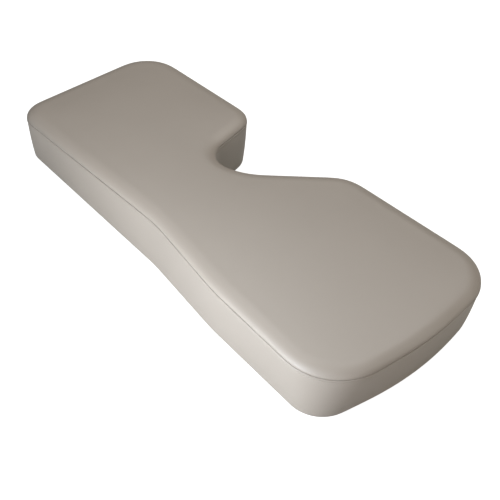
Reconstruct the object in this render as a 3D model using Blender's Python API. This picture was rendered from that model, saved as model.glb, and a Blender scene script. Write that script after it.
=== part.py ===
"""Body bolster pad on a plywood base: an S-fronted, notched, boxed cushion.

Metres, +Z up. +X runs along the length to the wide end, +Y to the notched
side, and the origin is under the middle of the pad, on its resting face.
Every layer is a stack of rings read from two outlines: the cover's seam line
and its lower edge. A ring is an outline at a height, drawn in by an inset.
"""
import math
from collections import namedtuple

import bmesh
import bpy
from mathutils import Matrix, Vector

# Driving dimensions
SEAM_HEIGHT = 0.110          # top of the side band, where the top panel is sewn on
CROWN_RISE = 0.016           # the top panel stands this far above its seam
CROWN_REACH = 0.030          # and is flat from this far inside it
CROWN_DEGREES = (28, 56, 90)
CROWN_EDGE_DROP = 0.6        # share of a layer's depth taken off at the crown's edge
NOTCH_BACK = 0.233           # the straight back edge, from the frame's long axis
EDGE_ROUND = 0.005           # round of the cover where it turns under the board
ROUND_MIDDLE = 1.0 - math.sqrt(0.5)

VINYL = 0.0012               # cover
WADDING = 0.0050             # fibre wrap over the foam
BOARD = 0.0120               # plywood
DUST_COVER = 0.0005          # cloth under the board
GAP = 0.0003                 # between touching pieces

TURN_UNDER = 0.038           # how far the band runs in under the board
DUST_COVER_INSET = 0.018     # the dust cover covers the band's raw edge
SEAM_ALLOWANCE = 0.011       # folded down behind the band
ALLOWANCE_CLEAR = 0.001      # the wadding thins this far below the allowance
WADDING_TAPER = 0.003        # and over this height
STITCH_DROP = 0.006          # the top stitch runs this far below the seam
THREAD_RADIUS = 0.00035
THREAD_SIDES = 6
FOAM_SPLIT = 0.070           # top of the firm foam
MID_HEIGHT = 0.040           # every wall has a ring here, so that they stay parallel
EASE_LOW = 0.088             # the soft foam's sides ease in from here
EASE_HIGH = 0.100
EASE_IN = 0.0025             # by this much up to here
CROWN_IN = 0.0035            # and by this much where its crown starts

NUT_PLACES = ((-0.400, -0.085), (0.000, -0.105), (0.400, -0.120),
              (-0.400, 0.125), (0.225, 0.125), (0.400, 0.125))
NUT_BORE = 0.00255           # minor radius of a 1/4 inch thread
NUT_BARREL = 0.0039
NUT_BARREL_LENGTH = 0.0095
NUT_FLANGE = 0.0095
NUT_FLANGE_THICKNESS = 0.0013
NUT_PRONG = 0.0015           # prong thickness, outer edge of the flange
NUT_PRONG_LENGTH = 0.0070
NUT_PRONG_TIP = 0.35         # width of a prong's tip, as a share of its root
NUT_SIDES = 16
NUT_PRONGS = 4

BREATHER_PLACES = ((-0.260, 0.030), (0.060, -0.010), (0.300, 0.000))
BREATHER_RADIUS = 0.010
ACCESS_RADIUS = 0.009        # hole in the dust cover below each T-nut
ROUND_SIDES = 24
CUT_OVER = 0.002             # a cutter stands this far past what it cuts
NEAR = 0.0001                # points this close to a line lie on it

# Heights of the layers, from the resting face up
FLANGE_LOW = DUST_COVER + GAP
FLANGE_TOP = FLANGE_LOW + VINYL
BOARD_LOW = FLANGE_TOP + GAP
BOARD_TOP = BOARD_LOW + BOARD
FOAM_LOW = BOARD_TOP + GAP
HEM_LOW = SEAM_HEIGHT - SEAM_ALLOWANCE

# Insets of the layers, from the outside of the cover in
HEM = 2 * VINYL              # the band's own allowance, folded behind it
LIP = HEM + GAP              # the top panel's allowance lies behind that
LIP_INSIDE = LIP + VINYL
WADDING_OUT = VINYL + GAP
WADDING_IN = WADDING_OUT + WADDING
FOAM_OUT = WADDING_IN + GAP

# A corner of an outline: its place and round, the steps of its arc, and the
# steps of the straight run that follows it
Corner = namedtuple("Corner", "x y radius arc run")

# Counter-clockwise from the narrow end's front corner
SEAM_LINE = (
    Corner(-0.530, -0.1455, 0.055, 6, 6),
    Corner(-0.024, -0.1475, 0.400, 4, 3),
    Corner(0.191, -0.1840, 0.520, 3, 3),
    Corner(0.504, -0.2080, 0.111, 7, 2),
    Corner(0.530, 0.0210, 0.640, 3, 2),
    Corner(0.511, NOTCH_BACK, 0.101, 7, 4),
    Corner(0.130, NOTCH_BACK, 0.086, 4, 2),
    Corner(-0.019, 0.0850, 0.150, 3, 1),
    Corner(-0.1205, 0.0500, 0.058, 6, 2),
    Corner(-0.1595, NOTCH_BACK, 0.052, 6, 3),
    Corner(-0.530, NOTCH_BACK, 0.088, 6, 4),
)
LOWER_EDGE = (
    Corner(-0.519, -0.1340, 0.025, 6, 6),
    Corner(-0.029, -0.1555, 0.400, 4, 3),
    Corner(0.179, -0.1835, 0.520, 3, 3),
    Corner(0.471, -0.2015, 0.070, 7, 2),
    Corner(0.517, 0.0210, 0.640, 3, 2),
    Corner(0.485, 0.2265, 0.078, 7, 4),
    Corner(0.130, 0.2265, 0.086, 4, 2),
    Corner(-0.019, 0.0785, 0.150, 3, 1),
    Corner(-0.127, 0.0435, 0.058, 6, 2),
    Corner(-0.166, 0.2265, 0.052, 6, 3),
    Corner(-0.5235, 0.2265, 0.088, 6, 4),
)
MIN_ROUND = 0.003
BAND_JOIN_BACK_X = 0.300     # the two band strips meet here, on the back
BAND_JOIN_END_Y = 0.040      # and here, on the narrow end


def clear_scene():
    """Remove every object of the scene."""
    for item in list(bpy.data.objects):
        bpy.data.objects.remove(item, do_unlink=True)


def material(name, colour, roughness, metallic=0.0):
    """Make a plain Principled material."""
    made = bpy.data.materials.new(name)
    made.use_nodes = True
    shader = made.node_tree.nodes["Principled BSDF"]
    shader.inputs["Base Color"].default_value = (*colour, 1.0)
    shader.inputs["Roughness"].default_value = roughness
    shader.inputs["Metallic"].default_value = metallic
    return made


# --- outlines and rings ----------------------------------------------------

def drawn_in(corners, inset):
    """Move every side of an outline inwards; inner rounds shrink, outer ones grow."""
    moved = []
    count = len(corners)
    for index, corner in enumerate(corners):
        before = corners[index - 1]
        after = corners[(index + 1) % count]
        here = Vector((corner.x, corner.y))
        way_in = (here - Vector((before.x, before.y))).normalized()
        way_out = (Vector((after.x, after.y)) - here).normalized()
        turn = way_in.cross(way_out)
        normal_in = Vector((-way_in.y, way_in.x))
        normal_out = Vector((-way_out.y, way_out.x))
        mitre = (normal_in + normal_out) / (1.0 + normal_in.dot(normal_out))
        place = here + mitre * inset
        radius = corner.radius - inset if turn > 0 else corner.radius + inset
        moved.append(corner._replace(x=place.x, y=place.y, radius=max(radius, MIN_ROUND)))
    return moved


def rounded(corners):
    """Points of an outline: an arc at each corner, even steps along each run."""
    arcs = []
    count = len(corners)
    for index, corner in enumerate(corners):
        before = corners[index - 1]
        after = corners[(index + 1) % count]
        here = Vector((corner.x, corner.y))
        way_in = (here - Vector((before.x, before.y))).normalized()
        way_out = (Vector((after.x, after.y)) - here).normalized()
        turn = math.atan2(way_in.cross(way_out), way_in.dot(way_out))
        side = math.copysign(1.0, turn)
        reach = corner.radius * math.tan(abs(turn) / 2)
        centre = here - way_in * reach + Vector((-way_in.y, way_in.x)) * corner.radius * side
        spoke = here - way_in * reach - centre
        arc = []
        for step in range(corner.arc + 1):
            swing = Matrix.Rotation(turn * step / corner.arc, 2)
            arc.append(centre + swing @ spoke)
        arcs.append(arc)
    points = []
    for index, corner in enumerate(corners):
        points.extend(arcs[index])
        start = arcs[index][-1]
        end = arcs[(index + 1) % count][0]
        for step in range(1, corner.run):
            points.append(start.lerp(end, step / corner.run))
    return points


def middle(points):
    """Centre of the box around some points."""
    across = [point.x for point in points]
    along = [point.y for point in points]
    return Vector(((min(across) + max(across)) / 2, (min(along) + max(along)) / 2))


CENTRE = middle(rounded(SEAM_LINE))


def ring(inset, height):
    """One ring of a layer: the outline at a height, drawn in by an inset."""
    lower = rounded(drawn_in(LOWER_EDGE, inset))
    upper = rounded(drawn_in(SEAM_LINE, inset))
    share = (height - EDGE_ROUND) / (SEAM_HEIGHT - EDGE_ROUND)
    share = min(max(share, 0.0), 1.0)
    points = []
    for low, high in zip(lower, upper):
        flat = low.lerp(high, share) - CENTRE
        points.append(Vector((flat.x, flat.y, height)))
    return points


# --- solids ----------------------------------------------------------------

def finish(name, bm, look):
    """Close a mesh's normals outwards and make it an object."""
    bmesh.ops.recalc_face_normals(bm, faces=bm.faces)
    mesh = bpy.data.meshes.new(name)
    bm.to_mesh(mesh)
    bm.free()
    mesh.materials.append(look)
    made = bpy.data.objects.new(name, mesh)
    bpy.context.collection.objects.link(made)
    return made


def join_rings(bm, lower, upper, closed=True):
    """Fill between two rings, every quad cut along the same diagonal."""
    count = len(lower)
    last = count if closed else count - 1
    for index in range(last):
        after = (index + 1) % count
        bm.faces.new((lower[index], lower[after], upper[after]))
        bm.faces.new((lower[index], upper[after], upper[index]))


def stacked(name, profile, look):
    """A solid from rings stacked from its lower face to its upper face."""
    bm = bmesh.new()
    rings = [[bm.verts.new(point) for point in ring(*place)] for place in profile]
    for lower, upper in zip(rings, rings[1:]):
        join_rings(bm, lower, upper)
    bm.faces.new(rings[0])
    bm.faces.new(rings[-1])
    return finish(name, bm, look)


def hollow(name, outside, inside, look):
    """An open-bottomed hood: rings up the outside, and rings up the inside."""
    bm = bmesh.new()
    outer = [[bm.verts.new(point) for point in ring(*place)] for place in outside]
    inner = [[bm.verts.new(point) for point in ring(*place)] for place in inside]
    for rings in (outer, inner):
        for lower, upper in zip(rings, rings[1:]):
            join_rings(bm, lower, upper)
        bm.faces.new(rings[-1])
    join_rings(bm, outer[0], inner[0])
    return finish(name, bm, look)


def hoop(name, section, look):
    """A closed loop with one cross-section all the way round."""
    bm = bmesh.new()
    rings = [[bm.verts.new(point) for point in ring(*place)] for place in section]
    for lower, upper in zip(rings, rings[1:] + rings[:1]):
        join_rings(bm, lower, upper)
    return finish(name, bm, look)


def strip(name, section, first, last, look):
    """A length of a hoop, from one station of the rings to another."""
    bm = bmesh.new()
    rings = []
    for place in section:
        points = ring(*place)
        count = len(points)
        steps = (last - first) % count
        run = [points[(first + step) % count] for step in range(steps + 1)]
        run[0] = run[0] + (run[1] - run[0]).normalized() * GAP / 2
        run[-1] = run[-1] + (run[-2] - run[-1]).normalized() * GAP / 2
        rings.append([bm.verts.new(point) for point in run])
    for lower, upper in zip(rings, rings[1:] + rings[:1]):
        join_rings(bm, lower, upper, closed=False)
    bm.faces.new([run[0] for run in rings])
    bm.faces.new([run[-1] for run in rings])
    return finish(name, bm, look)


def add_round(bm, x, y, low, high, radius, sides=ROUND_SIDES):
    """Add an upright round bar to a cutter."""
    bmesh.ops.create_cone(
        bm, cap_ends=True, segments=sides, radius1=radius, radius2=radius, depth=high - low,
        matrix=Matrix.Translation((x, y, (low + high) / 2)))


def add_block(bm, matrix, size):
    """Add a block of a size at a place to a cutter."""
    bmesh.ops.create_cube(bm, size=1.0, matrix=matrix @ Matrix.Diagonal((*size, 1.0)))


def cut(target, name, bm):
    """Take a cutter's shapes out of an object."""
    mesh = bpy.data.meshes.new(name)
    bm.to_mesh(mesh)
    bm.free()
    cutter = bpy.data.objects.new(name, mesh)
    bpy.context.collection.objects.link(cutter)
    cutter.hide_render = True
    cutter.display_type = "WIRE"
    change = target.modifiers.new(name, "BOOLEAN")
    change.operation = "DIFFERENCE"
    change.object = cutter


# --- pieces ----------------------------------------------------------------

def base_board(look):
    """Plywood base with T-nut holes, prong pockets and breather holes."""
    board = stacked("base_board", (
        (EDGE_ROUND + GAP, BOARD_LOW),
        (VINYL + GAP, FLANGE_LOW + EDGE_ROUND + GAP),
        (VINYL + GAP, BOARD_TOP),
    ), look)
    holes = bmesh.new()
    for x, y in BREATHER_PLACES:
        add_round(holes, x, y, BOARD_LOW - CUT_OVER, BOARD_TOP + CUT_OVER, BREATHER_RADIUS)
    pocket_place = NUT_FLANGE - NUT_PRONG / 2
    pocket = (NUT_PRONG + 2 * GAP, 2 * NUT_FLANGE * math.sin(math.pi / NUT_SIDES) + 2 * GAP,
              NUT_PRONG_LENGTH + GAP + CUT_OVER)
    for x, y in NUT_PLACES:
        add_round(holes, x, y, BOARD_LOW - CUT_OVER, BOARD_TOP + CUT_OVER, NUT_BARREL + 2 * GAP)
        for number in range(NUT_PRONGS):
            turn = Matrix.Rotation(2 * math.pi * number / NUT_PRONGS, 4, "Z")
            place = Matrix.Translation((x, y, BOARD_TOP + CUT_OVER - pocket[2] / 2))
            add_block(holes, place @ turn @ Matrix.Translation((pocket_place, 0, 0)), pocket)
    cut(board, "board_holes", holes)
    return board


def t_nut_mesh(look):
    """Pronged T-nut: flange on top, threaded barrel below, four prongs bent down."""
    section = (
        (NUT_BORE, NUT_FLANGE_THICKNESS), (NUT_FLANGE, NUT_FLANGE_THICKNESS), (NUT_FLANGE, 0.0),
        (NUT_FLANGE - NUT_PRONG, 0.0), (NUT_BARREL, 0.0), (NUT_BARREL, -NUT_BARREL_LENGTH),
        (NUT_BORE, -NUT_BARREL_LENGTH),
    )
    bm = bmesh.new()
    start = Matrix.Rotation(-math.pi / NUT_SIDES, 3, "Z")
    verts = [bm.verts.new(start @ Vector((radius, 0.0, height))) for radius, height in section]
    edges = [bm.edges.new((a, b)) for a, b in zip(verts, verts[1:] + verts[:1])]
    bmesh.ops.spin(bm, geom=verts + edges, cent=(0, 0, 0), axis=(0, 0, 1), angle=2 * math.pi,
                   steps=NUT_SIDES, use_merge=True, use_duplicate=False)
    bmesh.ops.remove_doubles(bm, verts=bm.verts, dist=1e-6)
    bmesh.ops.recalc_face_normals(bm, faces=bm.faces)
    prongs = []
    for face in bm.faces:
        centre = face.calc_center_median()
        on_rim = math.hypot(centre.x, centre.y) > NUT_FLANGE - NUT_PRONG
        quarter = math.atan2(centre.y, centre.x) / (2 * math.pi / NUT_PRONGS)
        facing_down = centre.z < NEAR and face.normal.z < 0
        if facing_down and on_rim and abs(quarter - round(quarter)) < NUT_PRONGS / NUT_SIDES / 2:
            prongs.append(face)
    for face in bmesh.ops.extrude_discrete_faces(bm, faces=prongs)["faces"]:
        centre = face.calc_center_median()
        bmesh.ops.translate(bm, verts=face.verts, vec=(0, 0, -NUT_PRONG_LENGTH))
        bmesh.ops.scale(bm, verts=face.verts, vec=(NUT_PRONG_TIP, NUT_PRONG_TIP, 1.0),
                        space=Matrix.Translation(-centre))
    mesh = bpy.data.meshes.new("t_nut")
    bm.to_mesh(mesh)
    bm.free()
    mesh.materials.append(look)
    return mesh


def t_nuts(look):
    """The T-nuts, one object each, seated in the top of the board."""
    mesh = t_nut_mesh(look)
    for number, (x, y) in enumerate(NUT_PLACES, start=1):
        nut = bpy.data.objects.new(f"t_nut_{number}", mesh)
        nut.location = (x, y, BOARD_TOP + GAP)
        bpy.context.collection.objects.link(nut)


def foam_firm(look):
    """Lower, load-bearing foam, relieved over each T-nut's flange."""
    foam = stacked("foam_firm_core", (
        (FOAM_OUT, FOAM_LOW), (FOAM_OUT, MID_HEIGHT), (FOAM_OUT, FOAM_SPLIT),
    ), look)
    relief = bmesh.new()
    for x, y in NUT_PLACES:
        add_round(relief, x, y, FOAM_LOW - CUT_OVER, FOAM_LOW + NUT_FLANGE_THICKNESS + GAP,
                  NUT_FLANGE + 2 * GAP, sides=NUT_SIDES)
    cut(foam, "foam_relief", relief)


def crown(inset, drop):
    """Rings of the crown, a quarter ellipse, for a layer that far inside the cover."""
    rings = []
    edge = SEAM_HEIGHT - drop * CROWN_EDGE_DROP
    rise = SEAM_HEIGHT + CROWN_RISE - drop - edge
    for degrees in CROWN_DEGREES:
        angle = math.radians(degrees)
        reach = CROWN_REACH - (CROWN_REACH - inset) * math.cos(angle)
        rings.append((reach, edge + rise * math.sin(angle)))
    return tuple(rings)


def foam_soft(look):
    """Upper, softer foam, its top edge eased to the crown."""
    stacked("foam_soft_topper", (
        (FOAM_OUT, FOAM_SPLIT + GAP), (FOAM_OUT, EASE_LOW), (FOAM_OUT + EASE_IN + GAP, EASE_HIGH),
    ) + crown(FOAM_OUT + CROWN_IN + GAP, VINYL + WADDING + 3 * GAP), look)


def wadding_wrap(look):
    """Fibre wrap over the foam's top and sides, open below, thin behind the seam."""
    thin_from = HEM_LOW - ALLOWANCE_CLEAR
    outside = (
        (WADDING_OUT, FOAM_LOW), (WADDING_OUT, MID_HEIGHT), (WADDING_OUT, FOAM_SPLIT),
        (WADDING_OUT, thin_from - WADDING_TAPER), (LIP_INSIDE + GAP, thin_from),
        (LIP_INSIDE + GAP, SEAM_HEIGHT),
    ) + crown(LIP_INSIDE + 2 * GAP, VINYL + GAP)
    inside = (
        (WADDING_IN, FOAM_LOW), (WADDING_IN, MID_HEIGHT), (WADDING_IN, FOAM_SPLIT),
        (WADDING_IN, EASE_LOW), (WADDING_IN + EASE_IN, EASE_HIGH + GAP),
    ) + crown(WADDING_IN + CROWN_IN, VINYL + WADDING + GAP)
    hollow("wadding_wrap", outside, inside, look)


def cover_top_panel(look):
    """Top panel of the cover, its allowance turned down behind the band."""
    outside = (
        (LIP, HEM_LOW), (LIP, SEAM_HEIGHT + GAP), (0.0, SEAM_HEIGHT + GAP),
    ) + crown(0.0, 0.0)
    inside = (
        (LIP_INSIDE, HEM_LOW), (LIP_INSIDE, SEAM_HEIGHT + VINYL),
    ) + crown(LIP_INSIDE, VINYL)
    hollow("cover_top_panel", outside, inside, look)


def band_section():
    """Cross-section of the side band, folded at the seam and turned under below."""
    low = FLANGE_LOW
    middle_of_round = EDGE_ROUND * ROUND_MIDDLE
    return (
        (0.0, SEAM_HEIGHT), (0.0, FOAM_SPLIT), (0.0, MID_HEIGHT), (0.0, low + EDGE_ROUND),
        (middle_of_round, low + middle_of_round), (EDGE_ROUND, low), (TURN_UNDER, low),
        (TURN_UNDER, FLANGE_TOP), (EDGE_ROUND, FLANGE_TOP),
        (VINYL, low + EDGE_ROUND), (VINYL, MID_HEIGHT), (VINYL, FOAM_SPLIT),
        (VINYL, HEM_LOW), (HEM, HEM_LOW), (HEM, SEAM_HEIGHT),
    )


def cover_bands(look):
    """The side band: one strip round the front and wide end, one round the back."""
    points = ring(0.0, SEAM_HEIGHT)
    back = max(point.y for point in points)
    end = min(point.x for point in points)
    on_back = [index for index, point in enumerate(points) if point.y > back - NEAR]
    on_end = [index for index, point in enumerate(points) if point.x < end + NEAR]
    join_back = min(on_back, key=lambda index: abs(points[index].x - BAND_JOIN_BACK_X))
    join_end = min(on_end, key=lambda index: abs(points[index].y - BAND_JOIN_END_Y))
    strip("cover_band_front", band_section(), join_end, join_back, look)
    strip("cover_band_back", band_section(), join_back, join_end, look)


def top_stitch(look):
    """The stitching thread round the band, just below the seam."""
    centre = -(GAP + THREAD_RADIUS)
    height = SEAM_HEIGHT - STITCH_DROP
    section = []
    for step in range(THREAD_SIDES):
        angle = 2 * math.pi * step / THREAD_SIDES
        section.append((centre + THREAD_RADIUS * math.cos(angle),
                        height + THREAD_RADIUS * math.sin(angle)))
    hoop("top_stitch_thread", section, look)


def dust_cover(look):
    """Non-woven cloth under the board, holed below each T-nut."""
    cloth = stacked("dust_cover", ((DUST_COVER_INSET, 0.0), (DUST_COVER_INSET, DUST_COVER)), look)
    holes = bmesh.new()
    for x, y in NUT_PLACES:
        add_round(holes, x, y, -CUT_OVER, DUST_COVER + CUT_OVER, ACCESS_RADIUS)
    cut(cloth, "access_holes", holes)


def main():
    """Build every piece."""
    clear_scene()
    vinyl = material("vinyl", (0.36, 0.31, 0.27), 0.45)
    base_board(material("plywood", (0.55, 0.40, 0.24), 0.70))
    t_nuts(material("zinc", (0.62, 0.62, 0.60), 0.35, 1.0))
    foam_firm(material("firm_foam", (0.45, 0.52, 0.60), 0.95))
    foam_soft(material("soft_foam", (0.82, 0.79, 0.62), 0.95))
    wadding_wrap(material("wadding", (0.86, 0.86, 0.84), 0.95))
    cover_top_panel(vinyl)
    cover_bands(vinyl)
    top_stitch(material("thread", (0.30, 0.26, 0.22), 0.70))
    dust_cover(material("non_woven", (0.03, 0.03, 0.03), 0.90))


main()
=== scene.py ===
"""Body bolster pad: the visual model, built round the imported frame.

Metres, +Z up, in the frame's own axes. The pad's cover, stuffing, underside
and fastenings are made from one plan of two outlines, the cover's seam line
and its lower edge, and from the boxes of the frame's nodes.
"""

import logging
import math
from dataclasses import dataclass, field
from enum import Enum
from typing import Iterable, Sequence

import bmesh
import bpy
from mathutils import Matrix, Vector, noise
from mathutils.kdtree import KDTree


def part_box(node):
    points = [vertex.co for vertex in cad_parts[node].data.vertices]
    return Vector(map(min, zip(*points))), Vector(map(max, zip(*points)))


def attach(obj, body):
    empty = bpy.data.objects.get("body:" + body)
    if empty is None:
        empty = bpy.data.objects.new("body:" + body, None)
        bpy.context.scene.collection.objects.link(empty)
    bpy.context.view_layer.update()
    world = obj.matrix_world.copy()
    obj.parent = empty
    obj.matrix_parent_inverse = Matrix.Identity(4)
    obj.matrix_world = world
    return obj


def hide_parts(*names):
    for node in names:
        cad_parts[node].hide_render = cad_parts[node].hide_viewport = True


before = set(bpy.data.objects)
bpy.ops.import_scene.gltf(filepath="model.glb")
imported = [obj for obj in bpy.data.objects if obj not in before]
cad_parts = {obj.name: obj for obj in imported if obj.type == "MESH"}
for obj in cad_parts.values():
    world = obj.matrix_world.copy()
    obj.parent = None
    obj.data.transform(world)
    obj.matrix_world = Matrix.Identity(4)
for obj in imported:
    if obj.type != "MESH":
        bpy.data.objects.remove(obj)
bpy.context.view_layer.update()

MM = 0.001
ROOT = "root"
LOG = logging.getLogger("bolster")

Profile = Sequence[tuple[float, float]]
Edges = list[bmesh.types.BMEdge]
Socket = bpy.types.NodeSocket

# Heights and moves that differ by less count as the same.
LEVEL = 1e-6
# Clearance between layers that lie on each other.
GAP = 0.3 * MM
# Share of a square that the grids are shifted by, so that no cut meets a ring's end.
GRID_SHIFT = 0.37
# Share of a layer's depth that its crown starts below the seam.
CROWN_EDGE_DROP = 0.6
# Share of the shoulder's rise above which the top panel is free to swell.
FREE_FROM = 0.72
# The top's simulation: its length, its push, and the distance that its moves are blended over.
SETTLE_FRAMES = 20
TOP_PRESSURE = 6.0
CALM_REACH = 0.025

# Insets and heights in millimetres. The lip and the fold are measured from the seam,
# the groove from the top stitch, and the wall and the hem from the resting face.
PANEL_LIP = ((2.75, -11.0), (2.75, -5.0), (2.75, -1.8), (2.4, -0.8), (1.7, -0.35), (0.9, -0.05), (0.35, 0.6))
BAND_FOLD = ((2.35, -2.0), (1.9, -1.15), (1.2, -0.80), (0.45, -0.95), (-0.15, -1.5), (-0.6, -2.4),
             (-0.7, -3.4), (-0.4, -4.4))
BAND_GROOVE = ((0.2, 0.8), (1.05, 0.0), (0.45, -0.9), (0.0, -2.4), (-0.25, -6.0))
BAND_WALL = ((-0.6, 86.0), (-1.0, 66.0), (-1.1, 48.0), (-0.9, 30.0), (-0.4, 16.0), (0.0, 8.5), (0.35, 5.2))
BAND_HEM = ((1.25, 2.8), (2.8, 1.4), (5.0, 0.8), (9.0, 0.8), (15.0, 0.8), (24.0, 0.8), (37.6, 0.8),
            (38.0, 1.4), (37.6, 2.0), (15.0, 2.0), (6.0, 2.0), (3.4, 2.6))
BAND_INSIDE = ((1.6, 5.2), (1.2, 8.5), (0.8, 30.0), (0.2, 60.0), (0.9, 86.0))
BAND_BACK = ((1.2, -12.0), (2.35, -11.0))
# Share of the seam's puckering that the top stitch follows.
STITCH_PUCKER = 0.55
# Stations over which a strip dips to its join, and insets where pleats start and how far they grow.
JOIN_WIDTH = 0.16
PLEATS_START = 4.0 * MM
PLEATS_GROW = 12.0 * MM
# Degrees of the rows round the shoulder, of the cover and of the layers below it.
SHOULDER_ROWS = (8, 14, 22, 31, 40, 50, 60, 70, 80, 90)
LAYER_ROWS = (18, 36, 54, 72, 90)
# Heights of the rows on the way up the walls of the foam and wadding.
WALL_ROWS = (0.028, 0.040, 0.055)
# Where a lamp aims, its size and its distance, close to the wide end and far from the pad.
NEAR_STAND = (Vector((0.45, -0.1, 0.1)), 0.5, 1.0)
FAR_STAND = (Vector((0.0, 0.0, 0.1)), 0.9, 2.4)


class Side(Enum):
    """Which strip of the side band a piece belongs to."""

    FRONT = "cover_band_front"
    BACK = "cover_band_back"


# --- the plan of the pad -----------------------------------------------------

@dataclass(frozen=True)
class Corner:
    """One rounded corner of an outline.

    Args:
        x: Place along the pad.
        y: Place across the pad.
        radius: Round of the corner.
    """

    x: float
    y: float
    radius: float

    @property
    def place(self) -> Vector:
        """The corner's point before it is rounded."""
        return Vector((self.x, self.y))


@dataclass
class Plan:
    """The pad seen from above, and every ring that a layer is made of.

    Args:
        seam_line: Corners of the outline at the seam, counter-clockwise.
        lower_edge: The same corners where the cover turns under.
        seam_height: Height of the seam.
        turn_height: Height where the walls begin to turn under.
        step: Distance between the stations of a ring.
        min_round: Smallest round that drawing an outline in may leave.
        easing: Rounds of averaging that ease straight runs into the corners.
        centre: Middle of the seam line's box, which becomes the origin.
        arc_steps: Steps round each corner.
        run_steps: Steps along the run after each corner.
    """

    seam_line: tuple[Corner, ...]
    lower_edge: tuple[Corner, ...]
    seam_height: float
    turn_height: float = 5.8 * MM
    step: float = 8.0 * MM
    min_round: float = 3.0 * MM
    easing: int = 3
    centre: Vector = field(init=False)
    arc_steps: list[int] = field(init=False)
    run_steps: list[int] = field(init=False)

    def __post_init__(self) -> None:
        """Count the steps of each corner and run, and centre the outlines."""
        self.arc_steps = []
        self.run_steps = []
        corners = self.seam_line
        reaches = []
        for index, corner in enumerate(corners):
            turn = self._turn(corners, index)
            reaches.append(corner.radius * math.tan(abs(turn) / 2))
            self.arc_steps.append(max(3, round(abs(turn) * corner.radius / self.step)))
        for index, corner in enumerate(corners):
            after = (index + 1) % len(corners)
            run = (corners[after].place - corner.place).length - reaches[index] - reaches[after]
            self.run_steps.append(max(1, round(run / self.step)))
        self.centre = Vector((0.0, 0.0))
        points = self._rounded(corners)
        xs = [point.x for point in points]
        ys = [point.y for point in points]
        self.centre = Vector(((min(xs) + max(xs)) / 2, (min(ys) + max(ys)) / 2))

    @property
    def count(self) -> int:
        """Number of stations in a ring."""
        return sum(steps + 1 for steps in self.arc_steps) + sum(steps - 1 for steps in self.run_steps)

    @staticmethod
    def _ways(corners: Sequence[Corner], index: int) -> tuple[Vector, Vector]:
        """Directions into and out of a corner."""
        here = corners[index].place
        way_in = (here - corners[index - 1].place).normalized()
        way_out = (corners[(index + 1) % len(corners)].place - here).normalized()
        return way_in, way_out

    def _turn(self, corners: Sequence[Corner], index: int) -> float:
        """Signed angle that the outline turns through at a corner."""
        way_in, way_out = self._ways(corners, index)
        return math.atan2(way_in.cross(way_out), way_in.dot(way_out))

    def _drawn_in(self, corners: Sequence[Corner], inset: float) -> list[Corner]:
        """Move every side of an outline inwards.

        Args:
            corners: The outline.
            inset: Distance inwards.

        Returns:
            The new corners; outer rounds have shrunk and inner ones grown.
        """
        moved = []
        for index, corner in enumerate(corners):
            way_in, way_out = self._ways(corners, index)
            normal_in = Vector((-way_in.y, way_in.x))
            normal_out = Vector((-way_out.y, way_out.x))
            mitre = (normal_in + normal_out) / (1.0 + normal_in.dot(normal_out))
            place = corner.place + mitre * inset
            outer = way_in.cross(way_out) > 0
            radius = corner.radius - inset if outer else corner.radius + inset
            moved.append(Corner(place.x, place.y, max(radius, self.min_round)))
        return moved

    def _rounded(self, corners: Sequence[Corner]) -> list[Vector]:
        """Stations of an outline: an arc at each corner and even steps along each run."""
        arcs = []
        for index, corner in enumerate(corners):
            way_in, _ = self._ways(corners, index)
            turn = self._turn(corners, index)
            side = math.copysign(1.0, turn)
            start = corner.place - way_in * (corner.radius * math.tan(abs(turn) / 2))
            centre = start + Vector((-way_in.y, way_in.x)) * (corner.radius * side)
            steps = self.arc_steps[index]
            arcs.append([centre + Matrix.Rotation(turn * n / steps, 2) @ (start - centre)
                         for n in range(steps + 1)])
        points = []
        for index, arc in enumerate(arcs):
            points.extend(arc)
            following = arcs[(index + 1) % len(arcs)][0]
            steps = self.run_steps[index]
            points.extend(arc[-1].lerp(following, n / steps) for n in range(1, steps))
        return [point - self.centre for point in points]

    def _eased(self, points: list[Vector]) -> list[Vector]:
        """Blend the straight runs of a ring into its corners."""
        for _ in range(self.easing):
            after = points[1:] + points[:1]
            before = points[-1:] + points[:-1]
            points = [(b + p * 2 + a) / 4 for b, p, a in zip(before, points, after)]
        return points

    def ring(self, inset: float, height: float) -> list[Vector]:
        """One ring of a layer.

        Args:
            inset: Distance in from the outside of the cover.
            height: Height above the resting face.

        Returns:
            The ring's stations, each under or over the same one of any other ring.
        """
        lower = self._eased(self._rounded(self._drawn_in(self.lower_edge, inset)))
        upper = self._eased(self._rounded(self._drawn_in(self.seam_line, inset)))
        share = (height - self.turn_height) / (self.seam_height - self.turn_height)
        share = min(max(share, 0.0), 1.0)
        flat = [low.lerp(high, share) for low, high in zip(lower, upper)]
        return [Vector((point.x, point.y, height)) for point in flat]

    def outward(self, ring: Sequence[Vector], index: int) -> Vector:
        """Level direction out of the pad at a station."""
        along = ring[(index + 1) % len(ring)] - ring[index - 1]
        return Vector((along.y, -along.x, 0.0)).normalized()

    def bend(self, ring: Sequence[Vector], index: int) -> float:
        """Curvature of a ring at a station, positive round an outer corner."""
        before = ring[index] - ring[index - 2]
        after = ring[(index + 2) % len(ring)] - ring[index]
        turn = math.atan2(before.x * after.y - before.y * after.x, before.x * after.x + before.y * after.y)
        return turn / max(before.length, 1e-6)

    def nearest(self, ring: Sequence[Vector], x: float, y: float) -> int:
        """Station of a ring that lies nearest to a place."""
        return min(range(len(ring)), key=lambda n: (ring[n].x - x) ** 2 + (ring[n].y - y) ** 2)


# --- meshes ------------------------------------------------------------------

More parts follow.
